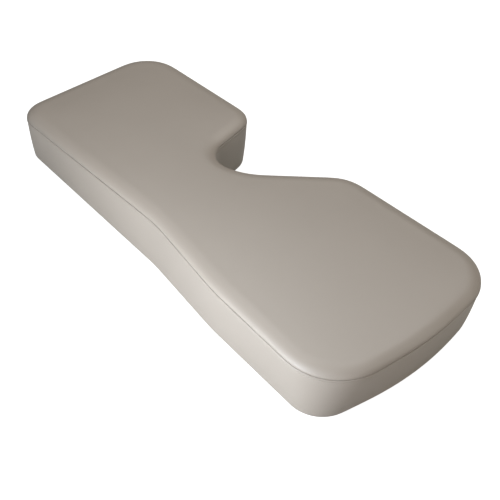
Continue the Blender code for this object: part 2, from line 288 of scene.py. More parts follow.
def new_object(name: str, bm: bmesh.types.BMesh, smooth: bool = True) -> bpy.types.Object:
    """Turn a bmesh into an object at the origin.

    Args:
        name: The object's name.
        bm: The mesh, which is freed.
        smooth: Whether it is shaded smooth.

    Returns:
        The new object.
    """
    mesh = bpy.data.meshes.new(name)
    bm.to_mesh(mesh)
    bm.free()
    if smooth:
        mesh.shade_smooth()
    made = bpy.data.objects.new(name, mesh)
    bpy.context.collection.objects.link(made)
    return made


def chain(bm: bmesh.types.BMesh, points: Sequence[Vector], closed: bool) -> Edges:
    """Start a mesh as a chain of edges, each vertex numbered by its station.

    Args:
        bm: The mesh.
        points: The stations.
        closed: Whether the last station is joined to the first.

    Returns:
        The chain's edges.
    """
    station = bm.verts.layers.int.get("station") or bm.verts.layers.int.new("station")
    verts = []
    for number, point in enumerate(points):
        vert = bm.verts.new(point)
        vert[station] = number
        verts.append(vert)
    ends = verts[1:] + verts[:1] if closed else verts[1:]
    return [bm.edges.new(pair) for pair in zip(verts, ends)]


def extrude_to(bm: bmesh.types.BMesh, edges: Edges,
               points: Sequence[Vector]) -> Edges:
    """Extrude a chain of edges and set its new vertices on another row of stations.

    Args:
        bm: The mesh.
        edges: The chain.
        points: The stations of the new row.

    Returns:
        The new row's edges.
    """
    station = bm.verts.layers.int["station"]
    grown = bmesh.ops.extrude_edge_only(bm, edges=edges)["geom"]
    for vert in grown:
        if isinstance(vert, bmesh.types.BMVert):
            vert.co = points[vert[station]]
    return [edge for edge in grown if isinstance(edge, bmesh.types.BMEdge)
            and all(vert in grown for vert in edge.verts)
            and edge.is_boundary]


def stack_rings(bm: bmesh.types.BMesh, plan: Plan, rows: Profile) -> tuple[Edges, Edges]:
    """Stack rings of a plan into one wall.

    Args:
        bm: The mesh.
        plan: The plan.
        rows: Insets and heights of the rings, in order.

    Returns:
        The edges of the first ring and of the last.
    """
    start = chain(bm, plan.ring(*rows[0]), closed=True)
    edges = start
    for row in rows[1:]:
        edges = extrude_to(bm, edges, plan.ring(*row))
    return start, edges


def linked_edges(verts: Iterable[bmesh.types.BMVert]) -> Edges:
    """Every edge that meets any of some vertices."""
    return list(dict.fromkeys(edge for vert in verts for edge in vert.link_edges))


def grid_flat(bm: bmesh.types.BMesh, height: float, spacing: float) -> None:
    """Cut the level faces at a height into a grid.

    Args:
        bm: The mesh.
        height: Height of the faces that are cut.
        spacing: Size of the grid's squares.
    """
    half = max(abs(vert.co.x) for vert in bm.verts)
    steps = int(half / spacing) + 1
    for normal in (Vector((1, 0, 0)), Vector((0, 1, 0))):
        for number in range(-steps, steps + 1):
            flat = [face for face in bm.faces
                    if all(abs(vert.co.z - height) < LEVEL for vert in face.verts)]
            geometry = dict.fromkeys(flat)
            for face in flat:
                geometry.update(dict.fromkeys(face.edges))
                geometry.update(dict.fromkeys(face.verts))
            bmesh.ops.bisect_plane(bm, geom=list(geometry), dist=LEVEL,
                                   plane_co=normal * (number + GRID_SHIFT) * spacing, plane_no=normal)


def crown_rows(inset: float, drop: float, seam: float, top: float, reach: float,
               degrees: Iterable[float]) -> list[tuple[float, float]]:
    """Rows of a layer's crown, a quarter ellipse from its edge to its flat top.

    Args:
        inset: Inset of the crown's edge.
        drop: Depth of the layer below the cover's outside.
        seam: Height of the seam.
        top: Height of the cover's top.
        reach: Inset where the top is flat.
        degrees: Angles of the rows round the ellipse.

    Returns:
        The rows' insets and heights.
    """
    edge = seam - drop * CROWN_EDGE_DROP
    rise = top - drop - edge
    rows = []
    for angle in map(math.radians, degrees):
        rows.append((reach - (reach - inset) * math.cos(angle), edge + rise * math.sin(angle)))
    return rows


def cloth_settled(piece: bpy.types.Object, pinned: str, pressure: float, cap: float) -> None:
    """Let a cover be pushed out by its stuffing, and keep the result.

    Args:
        piece: The cover, a sheet without thickness.
        pinned: Vertex group that stays where it is.
        pressure: Push of the stuffing.
        cap: Farthest that a point may move.
    """
    rest = [vert.co.copy() for vert in piece.data.vertices]
    cloth = piece.modifiers.new("stuffing", "CLOTH")
    settings = cloth.settings
    settings.quality = 4
    settings.mass = 0.02
    settings.tension_stiffness = 12
    settings.compression_stiffness = 12
    settings.shear_stiffness = 6
    settings.bending_stiffness = 4
    settings.air_damping = 2
    settings.vertex_group_mass = pinned
    settings.use_pressure = True
    settings.uniform_pressure_force = pressure
    settings.effector_weights.gravity = 0.0
    cloth.collision_settings.use_collision = False
    cloth.point_cache.frame_start = 1
    cloth.point_cache.frame_end = SETTLE_FRAMES
    for number in range(1, SETTLE_FRAMES + 1):
        bpy.context.scene.frame_set(number)
    shown = piece.evaluated_get(bpy.context.evaluated_depsgraph_get())
    pushed = [vert.co.copy() for vert in shown.data.vertices]
    piece.modifiers.remove(cloth)
    bpy.context.scene.frame_set(1)
    moves = calmed(rest, [now - was for was, now in zip(rest, pushed)], CALM_REACH)
    farthest = max(move.length for move in moves)
    share = min(cap / farthest, 1.0)
    for vert, was, move in zip(piece.data.vertices, rest, moves):
        vert.co = was + move * share
    LOG.info("%s pushed out by up to %.1f mm before the cap", piece.name, farthest / MM)


def placed(places: Iterable[Vector]) -> KDTree:
    """Sort places into a tree, each under its number."""
    listed = list(places)
    tree = KDTree(len(listed))
    for number, place in enumerate(listed):
        tree.insert(place, number)
    tree.balance()
    return tree


def calmed(rest: list[Vector], moves: list[Vector], reach: float) -> list[Vector]:
    """Blend each point's move with those round it, easing in from the points that stayed.

    Args:
        rest: Where the points were.
        moves: How far each has moved.
        reach: Distance over which the moves are blended and eased in.

    Returns:
        The blended moves, without the small wrinkles.
    """
    points = placed(rest)
    held = placed(place for place, move in zip(rest, moves) if move.length <= LEVEL)
    calm = []
    for place, move in zip(rest, moves):
        if move.length <= LEVEL:
            calm.append(Vector())
            continue
        total, weight = Vector(), 0.0
        for _, number, distance in points.find_range(place, reach):
            share = (1.0 - (distance / reach) ** 2) ** 2
            total += moves[number] * share
            weight += share
        eased = min(held.find(place)[2] / reach, 1.0)
        calm.append(total / weight * eased ** 2 * (3.0 - 2.0 * eased))
    return calm


# --- finishes ----------------------------------------------------------------

class Tree:
    """A node tree with short ways to add and join nodes."""

    def __init__(self, tree: bpy.types.NodeTree) -> None:
        """Take hold of a node tree."""
        self.tree = tree

    def add(self, kind: str, inputs: dict[int | str, object] | None = None,
            **settings: object) -> bpy.types.Node:
        """Add a node.

        Args:
            kind: The node's type.
            inputs: What its inputs get: another node's output, or a plain value.
            **settings: Values of its properties.

        Returns:
            The node.
        """
        node = self.tree.nodes.new(kind)
        for name, value in settings.items():
            setattr(node, name, value)
        self.feed(node, inputs or {})
        return node

    def feed(self, node: bpy.types.Node, inputs: dict[int | str, object]) -> None:
        """Join outputs to a node's inputs, or set plain values on them."""
        for name, value in inputs.items():
            if isinstance(value, bpy.types.NodeSocket):
                self.tree.links.new(value, node.inputs[name])
            else:
                node.inputs[name].default_value = value


def grain_group() -> bpy.types.NodeTree:
    """Fine leather-like grain with broad mottling, shared by the soft finishes.

    Returns:
        A group with the inputs Vector and Cell, and the outputs Height and Mottle.
    """
    name = "fine_grain"
    if name in bpy.data.node_groups:
        return bpy.data.node_groups[name]
    group = bpy.data.node_groups.new(name, "ShaderNodeTree")
    face = group.interface
    face.new_socket("Vector", in_out="INPUT", socket_type="NodeSocketVector")
    face.new_socket("Cell", in_out="INPUT", socket_type="NodeSocketFloat")
    face.new_socket("Height", in_out="OUTPUT", socket_type="NodeSocketFloat")
    face.new_socket("Mottle", in_out="OUTPUT", socket_type="NodeSocketFloat")
    tree = Tree(group)
    enter = tree.add("NodeGroupInput").outputs
    warp = tree.add("ShaderNodeTexNoise", {"Vector": enter["Vector"], "Scale": 90.0, "Detail": 2.0})
    mixed = tree.add("ShaderNodeMix", {"Factor": 0.0012}, data_type="VECTOR", factor_mode="UNIFORM")
    tree.feed(mixed, {"A": enter["Vector"], "B": warp.outputs["Color"]})
    cells = tree.add("ShaderNodeTexVoronoi", feature="DISTANCE_TO_EDGE")
    tree.feed(cells, {"Vector": mixed.outputs["Result"], "Scale": enter["Cell"]})
    ramp = tree.add("ShaderNodeMapRange", interpolation_type="SMOOTHSTEP")
    tree.feed(ramp, {"Value": cells.outputs["Distance"], "From Max": 0.35, "To Max": 1.0})
    fine = tree.add("ShaderNodeTexNoise", {"Vector": enter["Vector"], "Scale": 4200.0, "Detail": 2.0})
    total = tree.add("ShaderNodeMath", {0: fine.outputs["Fac"], 1: 0.35, 2: ramp.outputs["Result"]},
                     operation="MULTIPLY_ADD")
    broad = tree.add("ShaderNodeTexNoise",
                     {"Vector": enter["Vector"], "Scale": 7.0, "Detail": 3.0, "Roughness": 0.6})
    tree.add("NodeGroupOutput", {"Height": total.outputs["Value"], "Mottle": broad.outputs["Fac"]})
    return group


def blended(tree: Tree, share: Socket, first: object, second: object) -> Socket:
    """Blend two colours.

    Args:
        tree: The nodes.
        share: Share of the second colour.
        first: A colour, or a node's output.
        second: Another.

    Returns:
        The blend's socket.
    """
    mix = tree.add("ShaderNodeMix", data_type="RGBA")
    tree.feed(mix, {"Factor": share, "A": first, "B": second})
    return mix.outputs["Result"]


@dataclass(frozen=True)
class Finish:
    """A finish with grain.

    Args:
        name: Name of the material.
        slot: Material slot of the record that it belongs to; not used.
        colour: Middle colour.
        spread: How far the mottling moves the colour, as a share.
        roughness: Middle roughness.
        rough_spread: How far the mottling moves the roughness.
        metallic: 0 or 1.
        cell: Grain cells per metre.
        grain: Height of the grain.
        coat: Weight of a clear coat.
        sheen: Weight of the sheen.
    """

    name: str
    slot: str
    colour: tuple[float, float, float]
    spread: float = 0.04
    roughness: float = 0.5
    rough_spread: float = 0.06
    metallic: float = 0.0
    cell: float = 1300.0
    grain: float = 0.00003
    coat: float = 0.0
    sheen: float = 0.0

    def material(self) -> bpy.types.Material:
        """Build the material, once.

        Returns:
            The material.
        """
        if self.name in bpy.data.materials:
            return bpy.data.materials[self.name]
        made = bpy.data.materials.new(self.name)
        made.use_nodes = True
        tree = Tree(made.node_tree)
        place = tree.add("ShaderNodeTexCoord").outputs["Object"]
        grain = tree.add("ShaderNodeGroup", node_tree=grain_group())
        tree.feed(grain, {"Vector": place, "Cell": self.cell})
        mottle = grain.outputs["Mottle"]
        rough = tree.add("ShaderNodeMapRange", {
            "Value": mottle, "To Min": self.roughness - self.rough_spread,
            "To Max": self.roughness + self.rough_spread})
        height = self.raised(tree, place, grain.outputs["Height"])
        bump = tree.add("ShaderNodeBump", {"Strength": 1.0, "Distance": self.grain, "Height": height})
        tree.feed(made.node_tree.nodes["Principled BSDF"], {
            "Base Color": self.tinted(tree, place, mottle), "Roughness": rough.outputs["Result"],
            "Normal": bump.outputs["Normal"], "Metallic": self.metallic, "Coat Weight": self.coat,
            "Coat Roughness": 0.35, "Sheen Weight": self.sheen})
        return made

    def tinted(self, tree: Tree, place: Socket, mottle: Socket) -> Socket:
        """Colour that changes over the surface.

        Args:
            tree: The material's nodes.
            place: Its object coordinates.
            mottle: Broad mottling from 0 to 1.

        Returns:
            The colour's socket.
        """
        dark = [channel * (1 - self.spread) for channel in self.colour]
        light = [min(channel * (1 + self.spread), 1.0) for channel in self.colour]
        return blended(tree, mottle, (*dark, 1.0), (*light, 1.0))

    def raised(self, tree: Tree, place: Socket, height: Socket) -> Socket:
        """Height that the bump reads.

        Args:
            tree: The material's nodes.
            place: Its object coordinates.
            height: Height of the grain.

        Returns:
            The height's socket.
        """
        return height

    def dress(self, piece: bpy.types.Object) -> None:
        """Put the finish on a piece."""
        piece.data.materials.clear()
        piece.data.materials.append(self.material())


@dataclass(frozen=True)
class PlyFinish(Finish):
    """Plywood: long grain on its faces and stacked plies on its edges.

    Args:
        ply: Thickness of one ply.
    """

    ply: float = 2.4 * MM

    def tinted(self, tree: Tree, place: Socket, mottle: Socket) -> Socket:
        """Colour the wood by its grain and its plies."""
        low = (*[channel * 0.78 for channel in self.colour], 1.0)
        high = (*[min(channel * 1.12, 1.0) for channel in self.colour], 1.0)
        dark = (*[channel * 0.7 for channel in low[:3]], 1.0)
        stretch = tree.add("ShaderNodeMapping", {"Vector": place, "Scale": (6.0, 90.0, 90.0)})
        grain = tree.add("ShaderNodeTexNoise", {
            "Vector": stretch.outputs["Vector"], "Scale": 1.0, "Detail": 5.0, "Distortion": 0.6})
        face = blended(tree, grain.outputs["Fac"], low, high)
        split = tree.add("ShaderNodeSeparateXYZ", {"Vector": place})
        half_waves = math.pi / self.ply
        plies = tree.add("ShaderNodeMath", {0: split.outputs["Z"], 1: half_waves}, operation="MULTIPLY")
        wave = tree.add("ShaderNodeMath", {0: plies.outputs["Value"]}, operation="SINE")
        band = tree.add("ShaderNodeMapRange", {
            "Value": wave.outputs["Value"], "From Min": -0.3, "From Max": 0.3})
        edge = blended(tree, band.outputs["Result"], dark, high)
        normal = tree.add("ShaderNodeNewGeometry").outputs["True Normal"]
        up = tree.add("ShaderNodeSeparateXYZ", {"Vector": normal}).outputs["Z"]
        level = tree.add("ShaderNodeMath", {0: up}, operation="ABSOLUTE").outputs["Value"]
        return blended(tree, level, edge, face)


@dataclass(frozen=True)
class DottedFinish(Finish):
    """Spun-bonded cloth, pressed all over with a grid of small dots.

    Args:
        dots: Dots per metre.
        dent: Depth of a dot.
    """

    dots: float = 520.0
    dent: float = 0.12 * MM

    def raised(self, tree: Tree, place: Socket, height: Socket) -> Socket:
        """Add the dots to the height of the grain."""
        cells = tree.add("ShaderNodeTexVoronoi", feature="F1", voronoi_dimensions="2D")
        tree.feed(cells, {"Vector": place, "Scale": self.dots, "Randomness": 0.0})
        dots = tree.add("ShaderNodeMapRange", interpolation_type="SMOOTHSTEP")
        tree.feed(dots, {"Value": cells.outputs["Distance"], "From Min": 0.22, "From Max": 0.34,
                         "To Max": self.dent / self.grain})
        total = tree.add("ShaderNodeMath", {0: dots.outputs["Result"], 1: height}, operation="ADD")
        return total.outputs["Value"]


VINYL_FINISH = Finish("taupe_vinyl", "vinyl", (0.365, 0.322, 0.280), spread=0.025, roughness=0.46,
                      rough_spread=0.04, cell=1500.0, grain=0.000022, coat=0.08)
FIRM_FOAM_FINISH = Finish("firm_foam", "firm_foam", (0.42, 0.50, 0.58), spread=0.06, roughness=0.95,
                          rough_spread=0.03, cell=900.0, grain=0.00025, sheen=0.1)
SOFT_FOAM_FINISH = Finish("soft_foam", "soft_foam", (0.80, 0.76, 0.58), spread=0.05, roughness=0.95,
                          rough_spread=0.03, cell=700.0, grain=0.0003, sheen=0.1)
WADDING_FINISH = Finish("white_wadding", "wadding", (0.84, 0.84, 0.82), spread=0.04, roughness=0.95,
                        rough_spread=0.03, cell=260.0, grain=0.0006, sheen=0.4)
PLYWOOD_FINISH = PlyFinish("birch_plywood", "plywood", (0.58, 0.43, 0.26), spread=0.10, roughness=0.72,
                           cell=700.0, grain=0.00006)
ZINC_FINISH = Finish("bright_zinc", "zinc", (0.62, 0.63, 0.62), spread=0.08, roughness=0.34,
                     rough_spread=0.10, metallic=1.0, cell=900.0, grain=0.00001)
STAPLE_FINISH = Finish("galvanised_wire", "zinc", (0.55, 0.55, 0.54), spread=0.10, roughness=0.38,
                       rough_spread=0.10, metallic=1.0, cell=2500.0, grain=0.00001)
DUST_CLOTH_FINISH = DottedFinish("spun_bonded_cloth", "non_woven", (0.022, 0.022, 0.023), spread=0.20,
                                 roughness=0.85, cell=2200.0, grain=0.00008, sheen=0.25)
THREAD_FINISH = Finish("taupe_thread", "thread", (0.215, 0.185, 0.155), spread=0.10, roughness=0.62,
                       cell=3500.0, grain=0.00004)


def enrolled(piece: bpy.types.Object, finish: Finish, node: str = "") -> bpy.types.Object:
    """Dress a piece, hide the CAD node that it replaces and let it ride on the pad.

    Args:
        piece: The piece.
        finish: Its finish.
        node: CAD node that it replaces, if any.

    Returns:
        The same piece.
    """
    finish.dress(piece)
    if node:
        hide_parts(node)
    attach(piece, ROOT)
    return piece


# --- the cover ---------------------------------------------------------------

@dataclass
class Cover:
    """The vinyl cover: top panel, two band strips and their stitching.

    Args:
        plan: The pad's plan.
        top: Height of the crown above the resting face.
        thickness: Thickness of the vinyl.
        crown_reach: How far in the shoulder runs before the top is flat.
        grid: Spacing of the top panel's mesh.
        swell: Cap on how far the stuffing pushes the top out.
        stitch_drop: How far the top stitch runs below the seam.
        stitch_pitch: Length of one stitch and its gap.
        stitch_sink: How far the thread lies inside the band's outline.
        thread: Radius of the thread.
        pucker_fade: Distance below the seam where the puckering ends.
        pleat: Depth of the pleats where the band turns under a corner.
        join_dip: How far the band is drawn in where its strips are joined.
        fill: How tightly the cover is stuffed; not used.
        lifts: How far the swelling has raised each point of the top panel.
        places: The same points, seen from above.
    """

    plan: Plan
    top: float
    thickness: float = 1.2 * MM
    crown_reach: float = 30.0 * MM
    grid: float = 12.0 * MM
    swell: float = 2.5 * MM
    stitch_drop: float = 6.0 * MM
    stitch_pitch: float = 4.6 * MM
    stitch_sink: float = 0.60 * MM
    thread: float = 0.34 * MM
    pucker_fade: float = 14.0 * MM
    pleat: float = 0.75 * MM
    join_dip: float = 1.3 * MM
    fill: float = 0.95
    lifts: list[float] = field(default_factory=list)
    places: KDTree = field(default_factory=lambda: KDTree(0))

    def pucker(self, point: Vector) -> float:
        """Small unevenness that sewing leaves in the vinyl near the seam: a fine one on a broad one."""
        return noise.noise(point * 75.0) * 0.22 * MM + noise.noise(point * 22.0) * 0.25 * MM

    def shoulder(self) -> list[tuple[float, float]]:
        """Insets and heights of the top panel, from its lip behind the band to the flat top."""
        seam = self.plan.seam_height
        rows = [(inset * MM, seam + height * MM) for inset, height in PANEL_LIP]
        return rows + crown_rows(0.0, 0.0, seam, self.top, self.crown_reach, SHOULDER_ROWS)

    def top_panel(self) -> bpy.types.Object:
        """Build the crowned top panel.

        Returns:
            The finished piece.
        """
        bm = bmesh.new()
        rows = self.shoulder()
        _, edges = stack_rings(bm, self.plan, rows)
        bmesh.ops.contextual_create(bm, geom=edges)
        grid_flat(bm, rows[-1][1], self.grid)
        bmesh.ops.recalc_face_normals(bm, faces=bm.faces)
        deform = bm.verts.layers.deform.verify()
        free_from = self.plan.seam_height + FREE_FROM * (self.top - self.plan.seam_height)
        for vert in bm.verts:
            vert[deform][0] = 1.0 if vert.co.z < free_from else 0.0
        piece = new_object("cover_top", bm)
        piece.vertex_groups.new(name="pinned")
        before = [vert.co.copy() for vert in piece.data.vertices]
        cloth_settled(piece, "pinned", TOP_PRESSURE, self.swell)
        self._remember_lift(before, piece)
        self._pucker_edge(piece)
        self._skin(piece)
        return enrolled(piece, VINYL_FINISH, "cover_top_panel")

    def _remember_lift(self, before: list[Vector], piece: bpy.types.Object) -> None:
        """Note how far each point of the top was pushed up, for the layers below it."""
        self.lifts = [vert.co.z - was.z for vert, was in zip(piece.data.vertices, before)]
        self.places = KDTree(len(before))
        for number, place in enumerate(before):
            self.places.insert((place.x, place.y, 0.0), number)
        self.places.balance()

    def lift(self, point: Vector) -> float:
        """How far the top was pushed up over a point.

        Args:
            point: A point below the top panel.

        Returns:
            The rise, blended from the nearest points of the top panel.
        """
        near = self.places.find_n((point.x, point.y, 0.0), 4)
        weights = [1.0 / (distance + 1.0 * MM) for _, _, distance in near]
        total = sum(weight * self.lifts[number] for weight, (_, number, _) in zip(weights, near))
        return total / sum(weights)

    def _pucker_edge(self, piece: bpy.types.Object) -> None:
        """Pucker the panel's edge along the seam, fading out over the shoulder."""
        seam = self.plan.seam_height
        for vert in piece.data.vertices:
            fade = 1.0 - (vert.co.z - seam) / (10.0 * MM)
            if 0.0 < fade <= 1.0:
                vert.co.z += self.pucker(vert.co) * fade

    def _skin(self, piece: bpy.types.Object) -> None:
        """Round a sheet's facets off and give it the vinyl's thickness."""
        smooth = piece.modifiers.new("smooth", "SUBSURF")
        smooth.levels = 1
        smooth.render_levels = 1
        wall = piece.modifiers.new("thickness", "SOLIDIFY")
        wall.thickness = self.thickness
        wall.offset = -1.0

    def band_section(self) -> list[tuple[float, float]]:
        """Insets and heights round the band's wall, from inside its fold, down, under and back up."""
        seam = self.plan.seam_height
        parts = ((seam, BAND_FOLD), (seam - self.stitch_drop, BAND_GROOVE),
                 (0.0, BAND_WALL + BAND_HEM + BAND_INSIDE), (seam, BAND_BACK))
        return [(inset * MM, base + height * MM) for base, rows in parts for inset, height in rows]

    def band(self, side: Side, first: int, last: int) -> bpy.types.Object:
        """Build one strip of the side band.

        Args:
            side: Which strip.
            first: Station where it starts.
            last: Station where it ends, counter-clockwise.

        Returns:
            The finished piece.
        """
        stops = self.stops(first, last)
        rows = []
        for inset, height in self.band_section():
            ring = self.plan.ring(inset, height)
            rows.append([self._band_point(ring, stop, inset, height, stops) for stop in stops])
        bm = bmesh.new()
        start = chain(bm, rows[0], closed=False)
        edges = start
        for row in rows[1:]:
            edges = extrude_to(bm, edges, row)
        bmesh.ops.bridge_loops(bm, edges=start + edges)
        open_edges = [edge for edge in bm.edges if edge.is_boundary]
        bmesh.ops.edgeloop_fill(bm, edges=open_edges)
        bmesh.ops.recalc_face_normals(bm, faces=bm.faces)
        piece = new_object(side.value.replace("cover_", ""), bm)
        return enrolled(piece, VINYL_FINISH, side.value)

    def stops(self, first: int, last: int) -> list[float]:
        """Stations of a strip, closer together where it is joined to the other."""
        count = self.plan.count
        length = (last - first) % count
        near = (0.02, 0.12, 0.30, 0.60)
        middle = [float(number) for number in range(1, length)]
        run = [*near, *middle, *(length - share for share in reversed(near))]
        return [first + stop for stop in run]

    def _band_point(self, ring: Sequence[Vector], stop: float, inset: float, height: float,
                    stops: Sequence[float]) -> Vector:
        """Place of a band vertex: on its ring, puckered near the seam, pleated below.

        Args:
            ring: The ring that it lies on.
            stop: Its station, which may lie between two.
            inset: The ring's inset.
            height: The ring's height.
            stops: Every station of the strip.

        Returns:
            The place.
        """
        count = len(ring)
        low = math.floor(stop)
        point = ring[low % count].lerp(ring[(low + 1) % count], stop - low)
        outward = self.plan.outward(ring, low % count)
        from_join = min(stop - stops[0], stops[-1] - stop)
        point -= outward * self.join_dip * math.exp(-from_join / JOIN_WIDTH)
        from_seam = (self.plan.seam_height - height) / self.pucker_fade
        if from_seam < 1.0:
            point += outward * self.pucker(Vector((point.x, point.y, height))) * (1.0 - from_seam)
        if inset > PLEATS_START and height < 1.0 * MM:
            bend = max(self.plan.bend(ring, low % count), 0.0)
            reach = min((inset - PLEATS_START) / PLEATS_GROW, 1.0)
            fold = abs(math.sin(stop * 1.9 + noise.noise(point * 30.0)))
            point.z -= min(bend * 0.03, 1.0) * self.pleat * reach * fold ** 3
        return point

    def stitches(self) -> bpy.types.Object:
        """Lay the top stitch round the band.

        Returns:
            The finished piece.
        """
        height = self.plan.seam_height - self.stitch_drop
        ring = self.plan.ring(0.0, height)
        lengths = [0.0]
        for start, end in zip(ring, ring[1:] + ring[:1]):
            lengths.append(lengths[-1] + (end - start).length)
        total = lengths[-1]
        number = round(total / self.stitch_pitch)
        bm = bmesh.new()
        index = 0
        for stitch in range(number):
            along = total * stitch / number
            while lengths[index + 1] < along:
                index += 1
            start = ring[index]
            end = ring[(index + 1) % len(ring)]
            share = (along - lengths[index]) / (lengths[index + 1] - lengths[index])
            place = start.lerp(end, share)
            forward = (end - start).normalized()
            outward = Vector((forward.y, -forward.x, 0.0))
            place += outward * (self.pucker(place) * STITCH_PUCKER - self.stitch_sink)
            turn = Matrix((forward, outward, Vector((0, 0, 1)))).transposed().to_4x4()
            self._stitch(bm, Matrix.Translation(place) @ turn)
        return enrolled(new_object("top_stitches", bm), THREAD_FINISH, "top_stitch_thread")

    def _stitch(self, bm: bmesh.types.BMesh, place: Matrix) -> None:
        """Add one stitch: a short round length of thread that dips in at both ends."""
        length = self.stitch_pitch * 0.80
        made = bmesh.ops.create_cone(
            bm, cap_ends=True, segments=6, radius1=self.thread, radius2=self.thread, depth=length,
            matrix=Matrix.Rotation(math.pi / 2, 4, "Y"))["verts"]
        faces = list(dict.fromkeys(face for vert in made for face in vert.link_faces))
        middle = bmesh.ops.bisect_plane(bm, geom=made + linked_edges(made) + faces, dist=LEVEL,
                                        plane_co=(0, 0, 0), plane_no=(1, 0, 0))["geom_cut"]
        verts = made + [item for item in middle if isinstance(item, bmesh.types.BMVert)]
        for vert in verts:
            if abs(vert.co.x) > length / 4:
                vert.co.y = vert.co.y * 0.75 - 0.40 * MM
        bmesh.ops.transform(bm, matrix=place, verts=verts)


# --- inside the cover ---------------------------------------------------------

@dataclass
class Stuffing:
    """The foam and wadding that fill the cover.

    Args:
        plan: The pad's plan.
        cover: The cover that they follow.
        seat: Height of the board's top.
        split: Height where the firm foam meets the soft one.
        foam_inset: Inset of the foam's sides.
        wadding_out: Inset of the wadding's outside.
        wadding_in: Inset of its inside.
        behind_lip: Inset of its outside where the cover's lip passes.
        grid: Spacing of the tops' meshes.
        nut_relief: Depth of the hollows over the T-nuts.
        nut_room: Radius of the hollows.
    """

    plan: Plan
    cover: Cover
    seat: float
    split: float
    foam_inset: float = 6.8 * MM
    wadding_out: float = 1.5 * MM
    wadding_in: float = 6.5 * MM
    behind_lip: float = 4.2 * MM
    grid: float = 16.0 * MM
    nut_relief: float = 1.6 * MM
    nut_room: float = 10.2 * MM

    def _crown(self, inset: float, drop: float) -> list[tuple[float, float]]:
        """Rows of the crown of a layer."""
        cover = self.cover
        return crown_rows(inset, drop, self.plan.seam_height, cover.top, cover.crown_reach, LAYER_ROWS)

    def _follow(self, bm: bmesh.types.BMesh) -> None:
        """Lift the top of a layer as far as the cover above it was pushed."""
        seam = self.plan.seam_height
        for vert in bm.verts:
            share = (vert.co.z - seam + 4.0 * MM) / (self.cover.top - seam - 4.0 * MM)
            if share > 0.0:
                vert.co.z += self.cover.lift(vert.co) * min(share, 1.0)

    def _stack(self, bm: bmesh.types.BMesh, rows: Profile,
               nuts: Iterable[tuple[float, float]] = ()) -> Edges:
        """Stack rings up from a floor that is relieved over the T-nuts.

        Args:
            bm: The mesh.
            rows: Insets and heights, from the bottom up.
            nuts: Places of the T-nuts.

        Returns:
            The edges of the last ring.
        """
        start, edges = stack_rings(bm, self.plan, rows)
        rims = []
        for x, y in nuts:
            made = bmesh.ops.create_circle(bm, segments=24, radius=self.nut_room,
                                           matrix=Matrix.Translation((x, y, rows[0][1])))["verts"]
            rims.append(linked_edges(made))
        if rims:
            bmesh.ops.triangle_fill(bm, use_beauty=True, edges=start + sum(rims, []), normal=(0, 0, -1))
        else:
            bmesh.ops.contextual_create(bm, geom=start)
        for rim in rims:
            grown = bmesh.ops.extrude_edge_only(bm, edges=rim)["geom"]
            verts = [item for item in grown if isinstance(item, bmesh.types.BMVert)]
            bmesh.ops.translate(bm, verts=verts, vec=(0, 0, self.nut_relief))
            bmesh.ops.contextual_create(bm, geom=verts)
        return edges

    def _finished(self, name: str, bm: bmesh.types.BMesh, finish: Finish, node: str) -> bpy.types.Object:
        bmesh.ops.recalc_face_normals(bm, faces=bm.faces)
        return enrolled(new_object(name, bm), finish, node)

    def firm_foam(self, nuts: Iterable[tuple[float, float]]) -> bpy.types.Object:
        """Build the lower foam.

        Args:
            nuts: Places of the T-nuts that it is relieved over.

        Returns:
            The finished piece.
        """
        bm = bmesh.new()
        heights = (self.seat, self.seat + 1.5 * MM, *WALL_ROWS, self.split - 1.0 * MM, self.split)
        rows = [(self.foam_inset, height) for height in heights]
        rows[0] = (self.foam_inset + 0.8 * MM, heights[0])
        rows[-1] = (self.foam_inset + 0.6 * MM, heights[-1])
        edges = self._stack(bm, rows, nuts)
        bmesh.ops.contextual_create(bm, geom=edges)
        return self._finished("firm_foam", bm, FIRM_FOAM_FINISH, "foam_firm_core")

    def soft_foam(self) -> bpy.types.Object:
        """Build the upper foam.

        Returns:
            The finished piece.
        """
        bm = bmesh.new()
        inset = self.foam_inset
        rows = [(inset + 0.6 * MM, self.split + GAP), (inset, self.split + 1.2 * MM), (inset, 0.080),
                (inset, 0.088), (inset + 1.2 * MM, 0.095), (inset + 2.8 * MM, 0.100)]
        rows += self._crown(inset + 3.8 * MM, 7.1 * MM)
        edges = self._stack(bm, rows)
        bmesh.ops.contextual_create(bm, geom=edges)
        grid_flat(bm, rows[-1][1], self.grid)
        self._follow(bm)
        return self._finished("soft_foam", bm, SOFT_FOAM_FINISH, "foam_soft_topper")

    def wadding(self) -> bpy.types.Object:
        """Build the wadding wrap, an open-bottomed hood.

        Returns:
            The finished piece.
        """
        seam = self.plan.seam_height
        outside = [(self.wadding_out, height) for height in (self.seat, *WALL_ROWS, 0.070, 0.085)]
        outside += [(self.wadding_out, seam - 15.0 * MM), (self.behind_lip, seam - 12.0 * MM),
                    (self.behind_lip, seam)] + self._crown(self.behind_lip + GAP, 1.5 * MM)
        inside = [(self.wadding_in, height) for height in (self.seat, *WALL_ROWS, 0.070, 0.088)]
        inside += [(self.wadding_in + 1.0 * MM, 0.0953), (self.wadding_in + 2.5 * MM, 0.1003)]
        inside += self._crown(self.wadding_in + 3.5 * MM, 6.5 * MM)
        bm = bmesh.new()
        starts = []
        for rows in (outside, inside):
            start, edges = stack_rings(bm, self.plan, rows)
            starts += start
            bmesh.ops.contextual_create(bm, geom=edges)
            grid_flat(bm, rows[-1][1], self.grid)
        bmesh.ops.bridge_loops(bm, edges=starts)
        self._follow(bm)
        return self._finished("wadding", bm, WADDING_FINISH, "wadding_wrap")


# --- the underside ------------------------------------------------------------

